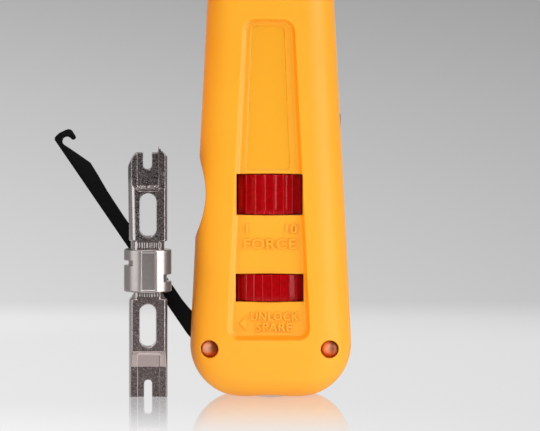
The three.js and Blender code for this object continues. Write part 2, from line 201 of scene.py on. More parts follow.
def plate(name, outline, y_span, bevel, material, body, holes=()):
    """Flat stock cut to an (x, z) outline, with softened edges."""
    curve = bpy.data.curves.new(name + "_outline", "CURVE")
    curve.dimensions = "2D"
    curve.fill_mode = "BOTH"
    for loop in (outline, *holes):
        spline = curve.splines.new("POLY")
        spline.points.add(len(loop) - 1)
        for point, (x, z) in zip(spline.points, loop):
            point.co = (x, z, 0, 1)
        spline.use_cyclic_u = True
    near, far = y_span
    curve.extrude = (far - near) / 2 - bevel
    curve.bevel_depth = bevel
    curve.bevel_resolution = 2
    curve.offset = -bevel
    mesh = curve_mesh(curve, x=0, y=(near + far) / 2, z=0, merge=2e-7)
    mesh.name = name
    return add_piece(name, mesh, material, body, sharp=35)


def lathe(profile, segments):
    """Profile of (radius, z): a closed ring, or a solid if it starts and ends on the axis."""
    verts, faces, rows = [], [], []
    for radius, z in profile:
        if radius < 1e-6:
            rows.append([len(verts)])
            verts.append((0, 0, z))
        else:
            rows.append(list(range(len(verts), len(verts) + segments)))
            for i in range(segments):
                angle = 2 * math.pi * i / segments
                verts.append((radius * math.cos(angle), radius * math.sin(angle), z))
    is_ring = profile[0][0] > 1e-6
    for j in range(len(rows) if is_ring else len(rows) - 1):
        row, after = rows[j], rows[(j + 1) % len(rows)]
        for i in range(segments):
            k = (i + 1) % segments
            if len(row) == 1:
                faces.append((row[0], after[k], after[i]))
            elif len(after) == 1:
                faces.append((row[i], row[k], after[0]))
            else:
                faces.append((row[i], row[k], after[k], after[i]))
    return verts, faces


def soften(profile, reach=0.18, steps=3):
    """Rounds the corners of a closed (radius, z) profile."""
    out = []
    for i, point in enumerate(profile):
        corner = Vector(point)
        back = Vector(profile[i - 1]) - corner
        ahead = Vector(profile[(i + 1) % len(profile)]) - corner
        cut = min(reach, back.length * 0.45, ahead.length * 0.45)
        start = corner + back.normalized() * cut
        end = corner + ahead.normalized() * cut
        for k in range(steps + 1):
            t = k / steps
            p = start * (1 - t) ** 2 + corner * 2 * t * (1 - t) + end * t * t
            out.append((p.x, p.y))
    return out


# ------------------------------------------------------------------ solids as fields
# A field is a function of x, y, z that is below zero inside the solid.
def smooth_max(a, b, radius):
    """Larger of two fields, rounded over where they meet."""
    h = np.maximum(radius - np.abs(a - b), 0) / radius
    return np.maximum(a, b) + h * h * radius * 0.25


def carve(solid, tool, radius):
    """The solid with the tool taken out, the new edges rounded."""
    return smooth_max(solid, -tool, radius)


def span(value, low, high):
    """Below zero between low and high."""
    return np.maximum(low - value, value - high)


def differences(field, points, step):
    """Field a step ahead less field a step behind, along each axis."""
    out = np.empty_like(points)
    for axis in range(3):
        shift = np.zeros(3)
        shift[axis] = step
        ahead, behind = points + shift, points - shift
        out[:, axis] = field(*ahead.T) - field(*behind.T)
    return out


def field_normals(field, points, step):
    grad = differences(field, points, step)
    return grad / np.maximum(np.linalg.norm(grad, axis=1), 1e-9)[:, None]


def sample_field(field, xs, ys, zs, chunk=24):
    """Field on the grid, a few z layers at a time to spare memory."""
    values = np.empty((len(xs), len(ys), len(zs)), np.float32)
    for k in range(0, len(zs), chunk):
        x, y, z = np.meshgrid(xs, ys, zs[k:k + chunk], indexing="ij")
        values[:, :, k:k + chunk] = field(x, y, z)
    return values


def edge_crossings(values, axes, cells):
    """Mean of the points where the surface crosses each cell's edges."""
    total = np.zeros((len(cells[0]), 3))
    count = np.zeros(len(cells[0]))
    corners = [(i, j, k) for i in (0, 1) for j in (0, 1) for k in (0, 1)]
    for a in corners:
        for d in range(3):
            if a[d]:
                continue
            b = list(a)
            b[d] = 1
            at_a = tuple(cell + step for cell, step in zip(cells, a))
            at_b = tuple(cell + step for cell, step in zip(cells, b))
            value_a = values[at_a].astype(np.float64)
            value_b = values[at_b].astype(np.float64)
            cross = (value_a < 0) != (value_b < 0)
            t = np.where(cross, value_a / np.where(cross, value_a - value_b, 1), 0)
            point = np.stack([axes[n][at_a[n]] for n in range(3)], 1)
            g = cells[d]
            point[:, d] = axes[d][g] + t * (axes[d][g + 1] - axes[d][g])
            total[cross] += point[cross]
            count[cross] += 1
    return total / count[:, None]


def net_quads(inside, index):
    """A quad round each grid edge that crosses the surface."""
    quads = []
    for d in range(3):
        near = [slice(1, -1)] * 3
        far = [slice(1, -1)] * 3
        near[d] = slice(0, -1)
        far[d] = slice(1, None)
        a, b = inside[tuple(near)], inside[tuple(far)]
        edges = np.stack(np.nonzero(a != b), 1)
        leaving = a[edges[:, 0], edges[:, 1], edges[:, 2]]
        offset = [1, 1, 1]
        offset[d] = 0
        edges = edges + offset
        u, w = (d + 1) % 3, (d + 2) % 3
        corners = []
        for du, dw in ((-1, -1), (0, -1), (0, 0), (-1, 0)):
            cell = edges.copy()
            cell[:, u] += du
            cell[:, w] += dw
            corners.append(index[cell[:, 0], cell[:, 1], cell[:, 2]])
        quad = np.stack(corners, 1)
        quad[~leaving] = quad[~leaving][:, ::-1]
        quads.append(quad)
    quads = np.concatenate(quads)
    return quads[(quads >= 0).all(1)]


def surface_nets(field, xs, ys, zs):
    """Points and quads of the field's surface, the points drawn on to it."""
    values = sample_field(field, xs, ys, zs)
    inside = values < 0
    nx, ny, nz = inside.shape
    count = np.zeros((nx - 1, ny - 1, nz - 1), np.int8)
    for i in (0, 1):
        for j in (0, 1):
            for k in (0, 1):
                count += inside[i:nx - 1 + i, j:ny - 1 + j, k:nz - 1 + k]
    crossed = (count > 0) & (count < 8)
    cells = np.nonzero(crossed)
    index = np.full(crossed.shape, -1, np.int64)
    index[cells] = np.arange(len(cells[0]))
    axes = (xs, ys, zs)
    points = edge_crossings(values, axes, cells)
    cell_size = np.stack([np.diff(axes[n])[cells[n]] for n in range(3)], 1)
    step = 0.01
    for _ in range(2):
        # one Newton step, held inside the cell
        grad = differences(field, points, step) / (2 * step)
        steepness = np.maximum((grad * grad).sum(1), 0.04)
        move = -grad * (field(*points.T) / steepness)[:, None]
        points = points + np.clip(move, -0.45 * cell_size, 0.45 * cell_size)
    return points, net_quads(inside, index)


# ------------------------------------------------------------------ node trees
def srgb(r, g, b):
    """Linear colour from 0 to 255 levels."""
    def linear(level):
        level /= 255
        return level / 12.92 if level <= 0.04045 else ((level + 0.055) / 1.055) ** 2.4
    return (linear(r), linear(g), linear(b))


class Nodes:
    """Short calls for the nodes of one tree. Inputs take numbers, tuples or sockets."""

    def __init__(self, tree):
        self.tree = tree

    def add(self, kind, **settings):
        node = self.tree.nodes.new(kind)
        for key, value in settings.items():
            setattr(node, key, value)
        return node

    def put(self, socket, value):
        if isinstance(value, (int, float)):
            socket.default_value = value
        elif isinstance(value, tuple):
            is_colour = socket.type == "RGBA" and len(value) == 3
            socket.default_value = (*value, 1) if is_colour else value
        else:
            self.tree.links.new(value, socket)

    def set(self, node, **inputs):
        for key, value in inputs.items():
            self.put(node.inputs[key.replace("_", " ")], value)

    def shader(self, kind, **inputs):
        node = self.add(kind)
        self.set(node, **inputs)
        return node.outputs[0]

    def mix_shader(self, factor, first, second):
        node = self.add("ShaderNodeMixShader")
        for socket, value in zip(node.inputs, (factor, first, second)):
            self.put(socket, value)
        return node.outputs[0]

    def split(self, vector):
        node = self.add("ShaderNodeSeparateXYZ")
        self.put(node.inputs[0], vector)
        return tuple(node.outputs)

    def math(self, operation, *values):
        node = self.add("ShaderNodeMath", operation=operation)
        for socket, value in zip(node.inputs, values):
            self.put(socket, value)
        return node.outputs[0]

    def times(self, a, b):
        return self.math("MULTIPLY", a, b)

    def below(self, value, limit):
        return self.math("LESS_THAN", value, limit)

    def distance(self, value, centre):
        return self.math("ABSOLUTE", self.math("SUBTRACT", value, centre))

    def remap(self, value, over, to=(0, 1), ease="LINEAR"):
        """Carries the range over to the range to, held at both ends."""
        node = self.add("ShaderNodeMapRange", interpolation_type=ease)
        self.set(node, Value=value, From_Min=over[0], From_Max=over[1],
                 To_Min=to[0], To_Max=to[1])
        return node.outputs["Result"]

    def mix(self, factor, first, second):
        node = self.add("ShaderNodeMix", data_type="RGBA")
        for key, value in ((0, factor), (6, first), (7, second)):
            self.put(node.inputs[key], value)
        return node.outputs[2]

    def grey_ramp(self, factor, stops):
        """Ramp through (position, grey level 0 to 255)."""
        node = self.add("ShaderNodeValToRGB")
        elements = node.color_ramp.elements
        while len(elements) < len(stops):
            elements.new(0.5)
        for element, (position, level) in zip(elements, stops):
            element.position = position
            element.color = (*srgb(level, level, level), 1)
        self.put(node.inputs["Fac"], factor)
        return node.outputs["Color"]


class Mat(Nodes):
    """A material on the Principled shader, its textures laid out in millimetres."""

    def __init__(self, name):
        self.material = bpy.data.materials.new(name)
        self.material.use_nodes = True
        super().__init__(self.material.node_tree)
        self.bsdf = self.tree.nodes["Principled BSDF"]
        self.relief = None
        scale = self.add("ShaderNodeVectorMath", operation="SCALE")
        scale.inputs["Scale"].default_value = 1000.0
        self.put(scale.inputs[0], self.add("ShaderNodeTexCoord").outputs["Object"])
        self.mm = scale.outputs[0]

    def stretched(self, factors):
        node = self.add("ShaderNodeVectorMath", operation="MULTIPLY")
        self.put(node.inputs[0], self.mm)
        node.inputs[1].default_value = factors
        return node.outputs[0]

    def noise(self, scale, detail=3.0, rough=0.5, vector=None):
        node = self.add("ShaderNodeTexNoise")
        self.set(node, Scale=scale, Detail=detail, Roughness=rough, Vector=vector or self.mm)
        return node.outputs["Fac"]

    def position(self):
        return self.split(self.mm)

    def normal(self):
        return self.split(self.add("ShaderNodeTexCoord").outputs["Normal"])

    def pointiness(self):
        return self.add("ShaderNodeNewGeometry").outputs["Pointiness"]

    def bump(self, height, strength, depth):
        """Adds relief over any already there; depth in millimetres."""
        node = self.add("ShaderNodeBump")
        self.set(node, Strength=strength, Distance=depth * MM, Height=height)
        if self.relief:
            self.put(node.inputs["Normal"], self.relief)
        self.relief = node.outputs["Normal"]
        self.surface(Normal=self.relief)

    def surface(self, **inputs):
        self.set(self.bsdf, **inputs)


# ------------------------------------------------------------------ materials
def shade_by_facing(m, base, nx, nz):
    """Painted shade: deeper orange where the plastic turns away from view, and high on the left.
    """
    weight = m.add("ShaderNodeLayerWeight")
    weight.inputs["Blend"].default_value = 0.5
    away = m.times(m.remap(weight.outputs["Facing"], over=(0.06, 0.6), to=(0, 0.8)),
                   m.remap(nx, over=(0.15, 0.5), to=(1.0, 0.12)))
    away = m.times(away, m.remap(nz, over=(-0.7, -0.2), to=(0.35, 1.0)))
    base = m.mix(away, base, srgb(255, 147, 6))
    upper_left = m.times(m.remap(nx, over=(-0.35, -0.85), to=(0, 0.42)),
                         m.remap(m.position()[2], over=(40.0, 85.0)))
    return m.mix(upper_left, base, srgb(204, 112, 12))


def shade_panel_walls(m, base, nx, nz):
    """Walls of the recessed panels: a paler painted highlight on one side, painted shade in
    deeper orange on the others.
    """
    x, y, z = m.position()
    inside = m.below(m.distance(x, AXIS_X + PANEL_X),
                     m.remap(z, over=(11.4, 77.0), to=(8.75, 5.4)))
    inside = m.times(inside, m.math("GREATER_THAN", m.distance(y, AXIS_Y), 6.0))
    inside = m.times(inside, m.below(m.distance(z, 44.2), 33.0))
    walls = (  # normal component, its range, strength, colour
        (nx, (0.2, 0.6), 0.32, srgb(255, 206, 118)),
        (nx, (-0.2, -0.6), 0.42, srgb(238, 138, 6)),
        (nz, (0.2, 0.6), 0.35, srgb(255, 150, 10)),
    )
    for component, facing, strength, colour in walls:
        wall = m.times(inside, m.remap(component, over=facing, to=(0, strength)))
        base = m.mix(wall, base, colour)
    return base


def shade_strip(m, base):
    """The floor of the strip is a touch duller."""
    low, high = STRIP_SPAN
    x, y, z = m.position()
    strip = m.below(m.distance(x, AXIS_X + STRIP_X), m.remap(z, over=STRIP_SPAN, to=STRIP_HALF))
    strip = m.times(strip, m.below(m.distance(z, (low + high) / 2), (high - low) / 2))
    depth = m.distance(m.distance(y, AXIS_Y), STRIP_FLOOR)
    strip = m.times(strip, m.below(depth, 0.08))
    return m.mix(m.times(strip, 0.55), base, srgb(238, 168, 28))


def grey_reflection(m):
    """Glossy rays leaving the plastic towards -X see flat grey, so metal there stays neutral."""
    path = m.add("ShaderNodeLightPath")
    to_viewer = m.split(m.add("ShaderNodeNewGeometry").outputs["Incoming"])
    leftward = m.remap(to_viewer[0], over=(-0.6, -0.3), to=(1.0, 0.0))
    mirrored = m.times(leftward, path.outputs["Is Glossy Ray"])
    grey = m.shader("ShaderNodeEmission", Color=srgb(112, 105, 103))
    output = m.tree.nodes["Material Output"]
    m.set(output, Surface=m.mix_shader(mirrored, m.bsdf.outputs[0], grey))


def yellow_plastic():
    m = Mat("yellow_moulded_plastic")
    cloud = m.noise(scale=0.06, detail=2.0)
    base = m.mix(m.remap(cloud, over=(0.35, 0.65)), srgb(255, 173, 40), srgb(255, 177, 46))
    grain = m.noise(scale=2.2)
    base = m.mix(m.remap(grain, over=(0.3, 0.7), to=(0, 0.12)), base, srgb(246, 166, 26))
    nx, _, nz = m.normal()
    base = shade_by_facing(m, base, nx, nz)
    base = shade_panel_walls(m, base, nx, nz)
    base = shade_strip(m, base)
    rub = m.noise(scale=0.35, detail=5.0, rough=0.65)
    m.surface(
        Base_Color=base,
        Roughness=m.remap(rub, over=(0.3, 0.7), to=(0.36, 0.46)),
        Subsurface_Weight=0.12,
        Subsurface_Radius=(1.0, 0.55, 0.12),
        Subsurface_Scale=0.0012,
        Specular_IOR_Level=0.32,
    )
    m.bump(m.noise(scale=5.0, detail=2.0), strength=0.06, depth=0.05)
    m.bump(m.noise(scale=0.5, detail=2.0), strength=0.05, depth=0.25)
    grey_reflection(m)
    return m.material


def red_plastic():
    m = Mat("red_gloss_plastic")
    cloud = m.noise(scale=1.2, detail=4.0)
    base = m.mix(m.remap(cloud, over=(0.35, 0.7)), srgb(176, 0, 7), srgb(152, 0, 4))
    # painted highlight: pink lines along the ridge crests, weaker on the lower wheel
    crest_glint = m.times(m.remap(m.pointiness(), over=(0.53, 0.6), to=(0, 0.6)),
                   m.remap(m.noise(scale=0.7, detail=1.0), over=(0.36, 0.6), to=(0.3, 1.0)))
    crest_glint = m.times(crest_glint, m.remap(m.position()[2], over=(29.0, 31.0), to=(0.3, 1.0)))
    gloss = m.noise(scale=3.0, detail=5.0, rough=0.7)
    m.surface(
        Base_Color=m.mix(crest_glint, base, srgb(226, 84, 96)),
        Roughness=m.remap(gloss, over=(0.3, 0.7), to=(0.14, 0.26)),
        Specular_IOR_Level=0.1,
        Subsurface_Weight=0.05,
        Subsurface_Radius=(1.0, 0.1, 0.05),
        Subsurface_Scale=0.0006,
        Coat_Weight=0.22,
        Coat_Roughness=0.06,
    )
    m.bump(m.noise(scale=2.5, detail=4.0), strength=0.05, depth=0.05)
    return m.material


def blade_steel(foot_z, centre_x):
    """Tumbled steel for a blade standing at foot_z and centre_x."""
    m = Mat("tumbled_blade_steel")
    speck = m.noise(scale=2.2, detail=4.0, rough=0.8)
    grit = m.noise(scale=4.4, detail=1.5)
    cloud = m.noise(scale=0.7, detail=2.0)
    base = m.mix(m.remap(speck, over=(0.4, 0.6)), srgb(70, 60, 62), srgb(158, 146, 145))
    base = m.mix(m.remap(grit, over=(0.58, 0.66), to=(0, 0.75)), base, srgb(240, 232, 230))
    base = m.mix(m.remap(cloud, over=(0.3, 0.7), to=(0, 0.2)), base, srgb(116, 103, 103))

    # plain necks, the same distance above and below the middle of the hub
    hub_offset = m.distance(m.math("SUBTRACT", m.position()[2], foot_z), 25.85)
    neck = m.below(m.distance(hub_offset, 4.95), 0.95)
    base = m.mix(m.times(neck, 0.7), base, srgb(134, 122, 121))

    # the stamped flats are dark, the lower half and its slopes lighter
    nx, _, nz = m.normal()
    side = m.remap(m.math("ABSOLUTE", nx), over=(0.24, 0.5), to=(0, 0.9))
    height = m.math("SUBTRACT", m.position()[2], foot_z)
    lower = m.remap(height, over=(22.0, 19.0))
    base = m.mix(m.times(lower, 0.36), base, srgb(150, 134, 132))
    slope = m.remap(m.math("ABSOLUTE", nz), over=(0.06, 0.14), to=(0, 0.9))
    slope = m.times(m.times(slope, lower), m.remap(height, over=(2.0, 4.0)))
    base = m.mix(slope, base, srgb(188, 172, 168))

    # painted highlight on the round sides, mostly on the left and below the tip
    side = m.times(m.times(side, m.remap(height, over=(43.3, 44.8), to=(1.0, 0.3))),
                   m.remap(nx, over=(0.0, 0.1), to=(1.0, 0.25)))
    base = m.mix(side, base, srgb(238, 230, 227))

    # painted highlight along the edges, weaker towards the outer sides
    outer = m.remap(m.distance(m.position()[0], centre_x), over=(2.6, 2.9), to=(1.0, 0.25))
    edge = m.times(m.remap(m.pointiness(), over=(0.515, 0.57), to=(0, 0.8)), outer)
    m.surface(
        Base_Color=m.mix(edge, base, srgb(244, 236, 234)),
        Metallic=1.0,
        Roughness=m.mix(side, m.remap(speck, over=(0.3, 0.7), to=(0.44, 0.3)), (0.2, 0.2, 0.2)),
    )
    m.bump(speck, strength=0.3, depth=0.05)
    m.bump(m.noise(scale=1.2), strength=0.1, depth=0.06)
    return m.material


def satin_metal(name, tint, rough):
    """Turned metal with faint lines across z."""
    m = Mat(name)
    lines = m.noise(scale=1.0, vector=m.stretched((0.6, 0.6, 9.0)))
    shade = srgb(*[level - 8 for level in tint])
    line_shade = srgb(*[level - 40 for level in tint])
    base = m.mix(m.remap(m.noise(scale=1.6), over=(0.35, 0.7)), srgb(*tint), shade)
    base = m.mix(m.remap(lines, over=(0.4, 0.7), to=(0, 0.07)), base, line_shade)
    m.surface(
        Base_Color=base,
        Metallic=1.0,
        Roughness=m.remap(lines, over=(0.3, 0.7), to=rough),
    )
    return m.material


def black_oxide():
    m = Mat("black_oxide_steel")
    cloud = m.noise(scale=1.4, detail=5.0, rough=0.7)
    base = m.mix(m.remap(cloud, over=(0.35, 0.75)), srgb(8, 7, 8), srgb(17, 15, 15))
    scratch = m.noise(scale=1.0, detail=5.0, rough=0.7, vector=m.stretched((2.2, 1.0, 0.35)))
    base = m.mix(m.remap(scratch, over=(0.68, 0.8), to=(0, 0.5)), base, srgb(96, 90, 84))
    edge = m.remap(m.pointiness(), over=(0.56, 0.75), to=(0, 0.35))
    m.surface(
        Base_Color=m.mix(edge, base, srgb(92, 86, 80)),
        Metallic=0.35,
        Roughness=m.remap(cloud, over=(0.3, 0.7), to=(0.42, 0.58)),
        Specular_IOR_Level=0.2,
    )
    m.bump(m.noise(scale=4.0, detail=4.0), strength=0.15, depth=0.03)
    return m.material


def copper_rivet():
    """Copper with painted light: a pale painted highlight on the left of each dome and painted
    shade, dark brown, on the right.
    """
    m = Mat("coppery_rivet")
    cloud = m.noise(scale=2.4, detail=4.0)
    nx, _, nz = m.normal()
    base = m.mix(m.remap(nx, over=(-0.25, 0.3)), srgb(255, 184, 150), srgb(136, 60, 14))
    # painted shade far to the right, painted reflections of the yellow handle low down and at the
    # left rim, and a random tone
    tints = (  # driving value, its range, strength, colour
        (nx, (0.6, 0.9), 0.8, srgb(110, 30, 4)),
        (nz, (0.0, -0.6), 0.9, srgb(220, 92, 14)),
        (nx, (-0.6, -0.9), 0.9, srgb(226, 112, 34)),
        (cloud, (0.3, 0.7), 0.3, srgb(196, 124, 84)),
    )
    for value, over, strength, colour in tints:
        base = m.mix(m.remap(value, over=over, to=(0, strength)), base, colour)
    m.surface(
        Base_Color=base,
        Metallic=0.25,
        Roughness=m.remap(cloud, over=(0.3, 0.7), to=(0.34, 0.46)),
        Specular_IOR_Level=0.4,
    )
    return m.material


def plain_metal(name, tint, rough, metallic=1.0):
    m = Mat(name)
    cloud = m.noise(scale=1.8, detail=4.0)
    shade = srgb(*[int(level * 0.82) for level in tint])
    gloss = m.noise(scale=2.6, detail=4.0)
    m.surface(
        Base_Color=m.mix(m.remap(cloud, over=(0.3, 0.7)), srgb(*tint), shade),
        Metallic=metallic,
        Roughness=m.remap(gloss, over=(0.3, 0.7), to=(rough - 0.06, rough + 0.08)),
    )
    m.bump(m.noise(scale=6.0), strength=0.08, depth=0.03)
    return m.material


def dark_nylon():
    m = Mat("dark_nylon")
    cloud = m.noise(scale=1.5, detail=4.0)
    m.surface(
        Base_Color=m.mix(m.remap(cloud, over=(0.3, 0.7)), srgb(38, 38, 41), srgb(52, 52, 55)),
        Roughness=m.remap(cloud, over=(0.3, 0.7), to=(0.5, 0.65)),
    )
    m.bump(m.noise(scale=5.0), strength=0.15, depth=0.04)
    return m.material


YELLOW = yellow_plastic()
RED = red_plastic()
SPARE_STEEL = blade_steel(foot_z=0.0, centre_x=SPARE_X)
NOSE_STEEL = blade_steel(foot_z=NOSE_BLADE_Z, centre_x=AXIS_X)
HUB = satin_metal("satin_hub", tint=(214, 206, 203), rough=(0.29, 0.34))
TICK = plain_metal("neck_marks", tint=(244, 236, 232), rough=0.5, metallic=0.7)
NICKEL = satin_metal("satin_nickel_nose", tint=(198, 192, 190), rough=(0.24, 0.38))
BLACK = black_oxide()
COPPER = copper_rivet()
SPRING = plain_metal("spring_wire", tint=(120, 120, 124), rough=0.32)
ZINC = plain_metal("zinc_plate", tint=(176, 178, 184), rough=0.36)
NYLON = dark_nylon()

# ------------------------------------------------------------------ handle shells
# half width at heights z, fitted by a cubic
WIDTH_Z = [10.25, 19.6, 29.8, 40.1, 50.3, 60.6, 70.8, 81.1, 100, 120, 140]
WIDTH_HALF = [16.36, 16.04, 15.58, 15.02, 14.45, 13.9, 13.33, 12.8, 12.05, 11.22, 10.37]
WIDTH_FIT = np.polyfit(WIDTH_Z, WIDTH_HALF, 3)
# half thickness at heights z, fitted by a quadratic
THICK_Z = [5, 12.4, 30, 45, 81, 120, 138]
THICK_HALF = [11.3, 11.3, 11.25, 11.15, 10.6, 10.25, 10.05]
THICK_FIT = np.polyfit(THICK_Z, THICK_HALF, 2)
# left edge x of the finger notch at heights z, before the notch is lowered
NOTCH_Z = np.array([32.3, 34.2, 36.0, 38.1, 40.1, 42.1, 44.2, 46.2, 48.0, 48.9])
NOTCH_X = [-15.6, -14.76, -14.04, -13.5, -13.19, -13.07, -13.28, -13.72, -14.28, -14.6]
NOTCH_LOWERED = 0.5
NOTCH_FIT = np.polyfit(NOTCH_Z - NOTCH_LOWERED, NOTCH_X, 5)
NOTCH_SPAN = (31.5, 48.7)

SECTION_POWER = 3.0  # superellipse exponent of the cross section
WALL = 2.4
HOLLOW_SPAN = (14, 133.9)
RIBS = (  # z spans left solid across the hollow
    (13.9, 18.7), (29.2, 31.2), (33.9, 36.6), (49.8, 52.4),
    (62.5, 65.5), (86, 89), (109, 113), (127, 134.2),
)
BORES = (  # radius, from z, to z, edge rounding
    (5.0, -2, 3.1, 0.5),
    (6.3, 3.0, 54.5, 0.15),
    (8.75, 46.2, 61.6, 0.15),
    (8.3, 61.5, 133.1, 0.15),
    (8.5, 133, 142, 0.15),
    (9.1, 133.1, 135.3, 0.15),
)
WHEEL_WINDOWS = (  # half width, from z, to z, radius of the pocket behind
    (6.73, 36.98, 45.33, 10.25),
    (6.9, 19.34, 24.98, 10.55),
)
LEVER_SLOT_HALF = 0.8
LEFT_SLOT_X = -9.5
LEFT_SLOT_SPAN = (6.9, 66)
RIGHT_SLOT_X = 9.7
RIGHT_SLOT_SPAN = (6.9, 61)
RIVET_RECESS = 1.8  # radius
RIVET_RECESS_Y = 7.2  # distance of its floor from the parting face
NECK_RADIUS = 9.15
NECK_Z = 135.9
SHELL_TOP = 140.0


def rounded_side(z, fit, lowest, fit_from, round_from, radius):
    """Fitted half size at z, drawn in by a quarter round at the butt."""
    z = np.clip(z, lowest, 150)
    fitted = np.polyval(fit, np.maximum(z, fit_from))
    drop = np.clip(round_from - z, 0, radius - 0.01)
    butt = np.polyval(fit, fit_from) - radius + np.sqrt(radius ** 2 - drop ** 2)
    return np.where(z < round_from, butt, fitted)


def skin(x, y, z):
    """Outside of the handle."""
    w = rounded_side(z, WIDTH_FIT, lowest=-0.22, fit_from=10.25, round_from=10.13, radius=10.7)
    t = rounded_side(z, THICK_FIT, lowest=0.02, fit_from=4.6, round_from=4.6, radius=4.6)
    u, v = np.abs(x) / w, np.abs(y) / t
    p = SECTION_POWER
    g = np.maximum((u ** p + v ** p), 1e-9) ** (1 / p)
    grad_x = g ** (1 - p) * u ** (p - 1) / w
    grad_y = g ** (1 - p) * v ** (p - 1) / t
    return (g - 1) / np.maximum(np.hypot(grad_x, grad_y), 0.04)


def tapered_panel(x, z, half, reach, corner):
    """Upright panel outline with rounded corners, its half width changing with z."""
    z0, z1 = reach
    width = half[0] + (half[1] - half[0]) * (z - z0) / (z1 - z0)
    a = np.abs(x) - width + corner
    b = span(z, z0, z1) + corner
    return np.minimum(np.maximum(a, b), 0) + np.hypot(np.maximum(a, 0), np.maximum(b, 0)) - corner


def carve_panel(d, x, y, z, depth):
    outline = tapered_panel(x - PANEL_X, z, PANEL_HALF, PANEL_SPAN, PANEL_CORNER)
    sloped_wall = (outline + 0.55 * depth) / 1.14
    recess = smooth_max(sloped_wall, PANEL_FLOOR - np.abs(y), 0.35)
    d = carve(d, recess, 0.16)
    strip = tapered_panel(x - STRIP_X, z, STRIP_HALF, STRIP_SPAN, STRIP_CORNER)
    return carve(d, np.maximum(strip, STRIP_FLOOR - np.abs(y)), 0.14)


def carve_inside(d, outside, x, z, r):
    """Ribbed hollow, stepped bore and the wheel windows with their pockets."""
    hollow = np.maximum(outside + WALL, span(z, *HOLLOW_SPAN))
    for rib in RIBS:
        hollow = np.maximum(hollow, -span(z, *rib))
    d = carve(d, hollow, 0.3)
    for radius, low, high, rounding in BORES:
        d = carve(d, np.maximum(r - radius, span(z, low, high)), rounding)
    for half, low, high, pocket in WHEEL_WINDOWS:
        d = carve(d, np.maximum(np.abs(x) - half, span(z, low, high)), 0.22)
        d = carve(d, np.maximum(r - pocket, span(z, low, high)), 0.1)
    return d


def carve_sides(d, x, y, z):
    """Finger notch, lever slots and the rivet seats."""
    notch_x = np.polyval(NOTCH_FIT, np.clip(z, *NOTCH_SPAN))
    d = carve(d, np.maximum((x - notch_x) * 0.97, span(z, *NOTCH_SPAN)), 0.3)
    left = np.maximum(x - LEFT_SLOT_X, span(z, *LEFT_SLOT_SPAN))
    right = np.maximum(RIGHT_SLOT_X - x, span(z, *RIGHT_SLOT_SPAN))
    d = carve(d, np.maximum(np.minimum(left, right), np.abs(y) - LEVER_SLOT_HALF), 0.16)
    for rivet_x in (-RIVET_X, RIVET_X):
        c = np.hypot(x - rivet_x, z - RIVET_Z)
        d = carve(d, np.maximum(c - RIVET_RECESS, RIVET_RECESS_Y - np.abs(y)), 0.25)
        d = carve(d, c - RIVET_HOLE, 0.1)
    return d


def front_shell(x, y, z):
    """The -Y half of the handle."""
    outside = skin(x, y, z)
    r = np.hypot(x, y)
    # butt face, a little hollow across the middle
    butt_z = 0.3 * np.exp(-(x / 2.8) ** 2) - 0.2
    d = smooth_max(outside, butt_z - z, 0.5)
    d = carve_panel(d, x, y, z, depth=np.maximum(-outside, 0))
    d = carve_inside(d, outside, x, z, r)
    d = carve_sides(d, x, y, z)
    # neck for the clamp ring, top end, then the parting face
    d = carve(d, np.maximum(NECK_RADIUS - r, NECK_Z - z), 0.35)
    d = smooth_max(d, z - SHELL_TOP, 0.4)
    return smooth_max(d, y + 0.02, 0.3)


def make_shells():
    h = 0.25
    xs = np.arange(-17.1, 17.1 + h, h)
    ys = np.arange(-11.7, 0.9, h)
    # coarser layers over the plain upper handle
    zs = np.concatenate([
        np.arange(-0.9, 92.0, h),
        np.arange(92.0, 133, max(h, 0.5)),
        np.arange(133, 141.2, max(h, 0.3)),
    ])
    points, quads = surface_nets(front_shell, xs, ys, zs)
    normals = field_normals(front_shell, points, 0.05)
    front = quad_piece("front_shell_skin", points, quads, YELLOW, "handle", "handle_plastic",
                       normals=normals)
    mirror = np.array([1, -1, 1])
    rear = quad_piece("rear_shell_skin", points * mirror, quads[:, ::-1], YELLOW, "handle",
                      "handle_plastic", normals=normals * mirror)
    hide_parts("front_shell")
    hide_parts("rear_shell")


make_shells()

# ------------------------------------------------------------------ raised captions
CAPTIONS = (  # name, text, x, z, letter size, overall width if set
    ("mark_low", "1", -4.6, 34.1, 2.7, None),
    ("mark_high", "10", 4.2, 34.1, 2.7, None),
    ("mark_force", "FORCE", 0, 31.0, 2.9, 10.6),
    ("mark_turn", "UNLOCK", 0.95, 16.25, 2.4, 9.9),
    ("mark_spare", "SPARE", 0.9, 14.05, 2.4, 7.4),
)
ARROW = [(-6.2, 14.9), (-4.75, 13.5), (-4.75, 16.3)]  # x, z


def caption(name, text, x, z, size, width):
    """Letters standing on the floor of the front panel."""
    curve = bpy.data.curves.new(name, "FONT")
    curve.body = text
    curve.size = size
    curve.align_x = "CENTER"
    curve.align_y = "CENTER"
    curve.extrude = 0.26
    curve.bevel_depth = 0.1
    curve.bevel_resolution = 1
    curve.offset = -0.02
    curve.resolution_u = 4
    curve.space_character = 1.08
    mesh = curve_mesh(curve, x, -PANEL_FLOOR, z, merge=1e-7, width=width)
    add_piece(name, mesh, YELLOW, "handle")


for entry in CAPTIONS:
    caption(*entry)
plate("mark_arrow", ARROW, (-PANEL_FLOOR - 0.3, -PANEL_FLOOR + 0.1), 0.12,
      YELLOW, "handle")

# ------------------------------------------------------------------ wheels
WHEEL_BORE = 6.45
TOOTH_STEPS = 18
POWER_TEETH = 32
RELEASE_TEETH = 35
RELEASE_RADIUS = 10.3


def from_tooth_edge(t):
    """Distance of t, a place along one tooth from 0 to 1, from the nearer end."""
    return abs(((t + 0.5) % 1.0) - 0.5)


def hollow_ground(t):
    """Drop of a hollow groove between thin flat-topped crests."""
    a = from_tooth_edge(t)
    if a < 0.05:
        return 0.0
    u = min(1.0, (a - 0.05) / 0.45)
    return 0.12 * min(1.0, u / 0.1) + 0.26 * math.sin(u * math.pi / 2)


